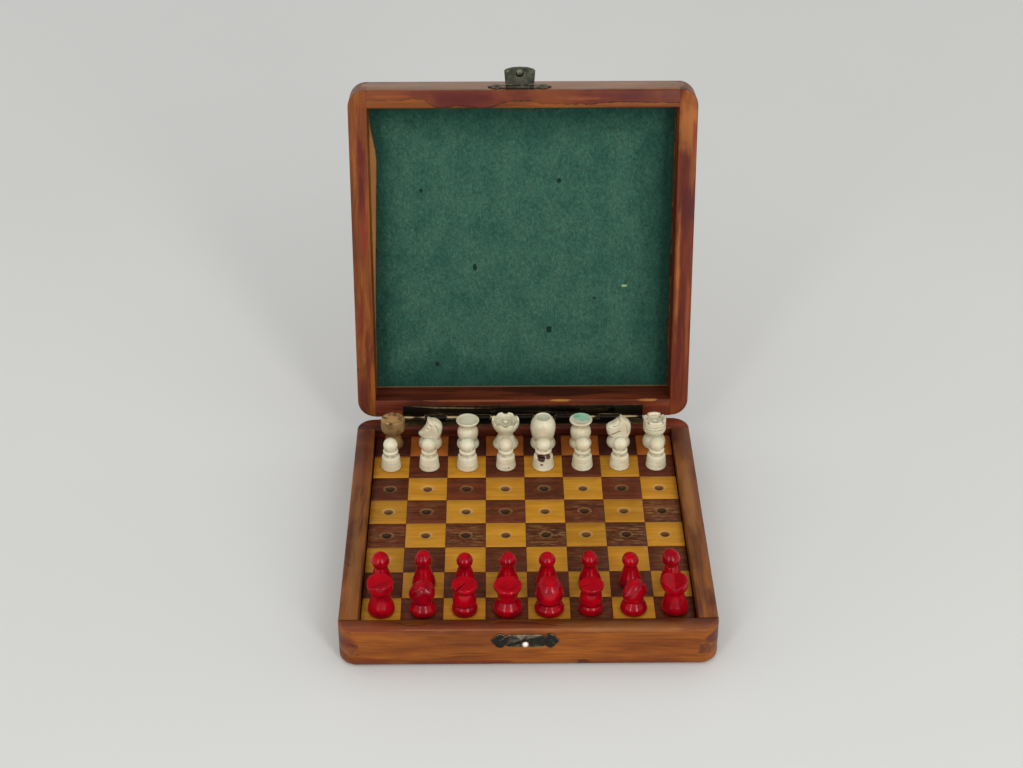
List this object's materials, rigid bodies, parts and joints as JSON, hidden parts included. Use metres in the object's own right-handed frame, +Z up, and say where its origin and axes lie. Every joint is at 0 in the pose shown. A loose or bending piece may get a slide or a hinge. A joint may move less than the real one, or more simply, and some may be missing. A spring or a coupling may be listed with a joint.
{
  "type": "travel chess set with hinged box board",
  "caption": "Hinged wooden box with a pegged chessboard sunk in its base, a felt-lined lid with a hasp latch, and turned chess pieces on pegs.",
  "frame": {"origin": "middle of the base's underside, on the surface that the box stands on", "axes": "+X towards the viewer's right, +Y towards the hinge at the back, +Z up"},
  "size_m": [0.14, 0.1836, 0.1662],
  "materials": {
    "base_wood": "satin, waxed, honey brown with darker reddish grain",
    "lid_wood": "satin, waxed, reddish brown",
    "panel_wood": "satin, waxed",
    "board_wood": "plain, unfinished",
    "light_veneer": "satin, worn, yellow ochre",
    "dark_veneer": "satin, worn, dark brown",
    "felt": "worn, mottled blue green",
    "hinge_metal": "aged, darkened",
    "pin_metal": "aged",
    "nail_metal": "aged",
    "latch_metal": "aged, darkened",
    "stud_metal": "worn bright",
    "white_pieces": "satin, cream, like bone",
    "brown_rook": "satin, aged brown",
    "red_pieces": "glossy, deep red"
  },
  "bodies": {
    "base": {"base_front": "base_wood", "base_back": "base_wood", "base_left": "base_wood", "base_right": "base_wood", "base_bottom": "panel_wood", "board_ledges": "board_wood", "board_core": "board_wood", "light_squares": "light_veneer", "dark_squares": "dark_veneer", "hinge_base_leaf": "hinge_metal", "hinge_pin": "pin_metal", "hinge_base_nails": "nail_metal", "latch_plate": "latch_metal", "latch_nails": "nail_metal", "latch_stud": "stud_metal"},
    "lid": {"lid_front": "lid_wood", "lid_back": "lid_wood", "lid_left": "lid_wood", "lid_right": "lid_wood", "lid_panel": "panel_wood", "felt_lining": "felt", "hinge_lid_leaf": "hinge_metal", "hinge_lid_nails": "nail_metal", "hasp_plate": "latch_metal", "hasp_plate_nails": "nail_metal", "hasp_pin": "pin_metal"},
    "hasp": {"hasp_tongue": "latch_metal"},
    "white_rook_left_body": {"white_rook_left": "brown_rook"},
    "white_knight_left_body": {"white_knight_left": "white_pieces"},
    "white_bishop_left_body": {"white_bishop_left": "white_pieces"},
    "white_queen_body": {"white_queen": "white_pieces"},
    "white_king_body": {"white_king": "white_pieces"},
    "white_bishop_right_body": {"white_bishop_right": "white_pieces"},
    "white_knight_right_body": {"white_knight_right": "white_pieces"},
    "white_rook_right_body": {"white_rook_right": "white_pieces"},
    "red_rook_left_body": {"red_rook_left": "red_pieces"},
    "red_knight_left_body": {"red_knight_left": "red_pieces"},
    "red_bishop_left_body": {"red_bishop_left": "red_pieces"},
    "red_queen_body": {"red_queen": "red_pieces"},
    "red_king_body": {"red_king": "red_pieces"},
    "red_bishop_right_body": {"red_bishop_right": "red_pieces"},
    "red_knight_right_body": {"red_knight_right": "red_pieces"},
    "red_rook_right_body": {"red_rook_right": "red_pieces"},
    "white_pawn_1_body": {"white_pawn_1": "white_pieces"},
    "white_pawn_2_body": {"white_pawn_2": "white_pieces"},
    "white_pawn_3_body": {"white_pawn_3": "white_pieces"},
    "white_pawn_4_body": {"white_pawn_4": "white_pieces"},
    "white_pawn_5_body": {"white_pawn_5": "white_pieces"},
    "white_pawn_6_body": {"white_pawn_6": "white_pieces"},
    "white_pawn_7_body": {"white_pawn_7": "white_pieces"},
    "white_pawn_8_body": {"white_pawn_8": "white_pieces"},
    "red_pawn_1_body": {"red_pawn_1": "red_pieces"},
    "red_pawn_2_body": {"red_pawn_2": "red_pieces"},
    "red_pawn_3_body": {"red_pawn_3": "red_pieces"},
    "red_pawn_4_body": {"red_pawn_4": "red_pieces"},
    "red_pawn_5_body": {"red_pawn_5": "red_pieces"},
    "red_pawn_6_body": {"red_pawn_6": "red_pieces"},
    "red_pawn_7_body": {"red_pawn_7": "red_pieces"},
    "red_pawn_8_body": {"red_pawn_8": "red_pieces"}
  },
  "joints": [
    {"name": "lid_hinge", "type": "hinge", "parent": "base", "child": "lid", "pos_m": [0, 0.0716, 0.0166], "axis": [-1, 0, 0], "range_deg": [-98.8, 81]},
    {"name": "hasp_hinge", "type": "hinge", "parent": "lid", "child": "hasp", "pos_m": [-0.0013, 0.09466, 0.15834], "axis": [-1, 0, 0], "range_deg": [-90, 50]},
    {"name": "white_rook_left_lift", "type": "slide", "parent": "base", "child": "white_rook_left_body", "axis": [0, 0, 1], "range_m": [0, 0.16]},
    {"name": "white_knight_left_lift", "type": "slide", "parent": "base", "child": "white_knight_left_body", "axis": [0, 0, 1], "range_m": [0, 0.16]},
    {"name": "white_bishop_left_lift", "type": "slide", "parent": "base", "child": "white_bishop_left_body", "axis": [0, 0, 1], "range_m": [0, 0.16]},
    {"name": "white_queen_lift", "type": "slide", "parent": "base", "child": "white_queen_body", "axis": [0, 0, 1], "range_m": [0, 0.16]},
    {"name": "white_king_lift", "type": "slide", "parent": "base", "child": "white_king_body", "axis": [0, 0, 1], "range_m": [0, 0.16]},
    {"name": "white_bishop_right_lift", "type": "slide", "parent": "base", "child": "white_bishop_right_body", "axis": [0, 0, 1], "range_m": [0, 0.16]},
    {"name": "white_knight_right_lift", "type": "slide", "parent": "base", "child": "white_knight_right_body", "axis": [0, 0, 1], "range_m": [0, 0.16]},
    {"name": "white_rook_right_lift", "type": "slide", "parent": "base", "child": "white_rook_right_body", "axis": [0, 0, 1], "range_m": [0, 0.16]},
    {"name": "red_rook_left_lift", "type": "slide", "parent": "base", "child": "red_rook_left_body", "axis": [0, 0, 1], "range_m": [0, 0.16]},
    {"name": "red_knight_left_lift", "type": "slide", "parent": "base", "child": "red_knight_left_body", "axis": [0, 0, 1], "range_m": [0, 0.16]},
    {"name": "red_bishop_left_lift", "type": "slide", "parent": "base", "child": "red_bishop_left_body", "axis": [0, 0, 1], "range_m": [0, 0.16]},
    {"name": "red_queen_lift", "type": "slide", "parent": "base", "child": "red_queen_body", "axis": [0, 0, 1], "range_m": [0, 0.16]},
    {"name": "red_king_lift", "type": "slide", "parent": "base", "child": "red_king_body", "axis": [0, 0, 1], "range_m": [0, 0.16]},
    {"name": "red_bishop_right_lift", "type": "slide", "parent": "base", "child": "red_bishop_right_body", "axis": [0, 0, 1], "range_m": [0, 0.16]},
    {"name": "red_knight_right_lift", "type": "slide", "parent": "base", "child": "red_knight_right_body", "axis": [0, 0, 1], "range_m": [0, 0.16]},
    {"name": "red_rook_right_lift", "type": "slide", "parent": "base", "child": "red_rook_right_body", "axis": [0, 0, 1], "range_m": [0, 0.16]},
    {"name": "white_pawn_1_lift", "type": "slide", "parent": "base", "child": "white_pawn_1_body", "axis": [0, 0, 1], "range_m": [0, 0.16]},
    {"name": "white_pawn_2_lift", "type": "slide", "parent": "base", "child": "white_pawn_2_body", "axis": [0, 0, 1], "range_m": [0, 0.16]},
    {"name": "white_pawn_3_lift", "type": "slide", "parent": "base", "child": "white_pawn_3_body", "axis": [0, 0, 1], "range_m": [0, 0.16]},
    {"name": "white_pawn_4_lift", "type": "slide", "parent": "base", "child": "white_pawn_4_body", "axis": [0, 0, 1], "range_m": [0, 0.16]},
    {"name": "white_pawn_5_lift", "type": "slide", "parent": "base", "child": "white_pawn_5_body", "axis": [0, 0, 1], "range_m": [0, 0.16]},
    {"name": "white_pawn_6_lift", "type": "slide", "parent": "base", "child": "white_pawn_6_body", "axis": [0, 0, 1], "range_m": [0, 0.16]},
    {"name": "white_pawn_7_lift", "type": "slide", "parent": "base", "child": "white_pawn_7_body", "axis": [0, 0, 1], "range_m": [0, 0.16]},
    {"name": "white_pawn_8_lift", "type": "slide", "parent": "base", "child": "white_pawn_8_body", "axis": [0, 0, 1], "range_m": [0, 0.16]},
    {"name": "red_pawn_1_lift", "type": "slide", "parent": "base", "child": "red_pawn_1_body", "axis": [0, 0, 1], "range_m": [0, 0.16]},
    {"name": "red_pawn_2_lift", "type": "slide", "parent": "base", "child": "red_pawn_2_body", "axis": [0, 0, 1], "range_m": [0, 0.16]},
    {"name": "red_pawn_3_lift", "type": "slide", "parent": "base", "child": "red_pawn_3_body", "axis": [0, 0, 1], "range_m": [0, 0.16]},
    {"name": "red_pawn_4_lift", "type": "slide", "parent": "base", "child": "red_pawn_4_body", "axis": [0, 0, 1], "range_m": [0, 0.16]},
    {"name": "red_pawn_5_lift", "type": "slide", "parent": "base", "child": "red_pawn_5_body", "axis": [0, 0, 1], "range_m": [0, 0.16]},
    {"name": "red_pawn_6_lift", "type": "slide", "parent": "base", "child": "red_pawn_6_body", "axis": [0, 0, 1], "range_m": [0, 0.16]},
    {"name": "red_pawn_7_lift", "type": "slide", "parent": "base", "child": "red_pawn_7_body", "axis": [0, 0, 1], "range_m": [0, 0.16]},
    {"name": "red_pawn_8_lift", "type": "slide", "parent": "base", "child": "red_pawn_8_body", "axis": [0, 0, 1], "range_m": [0, 0.16]}
  ]
}
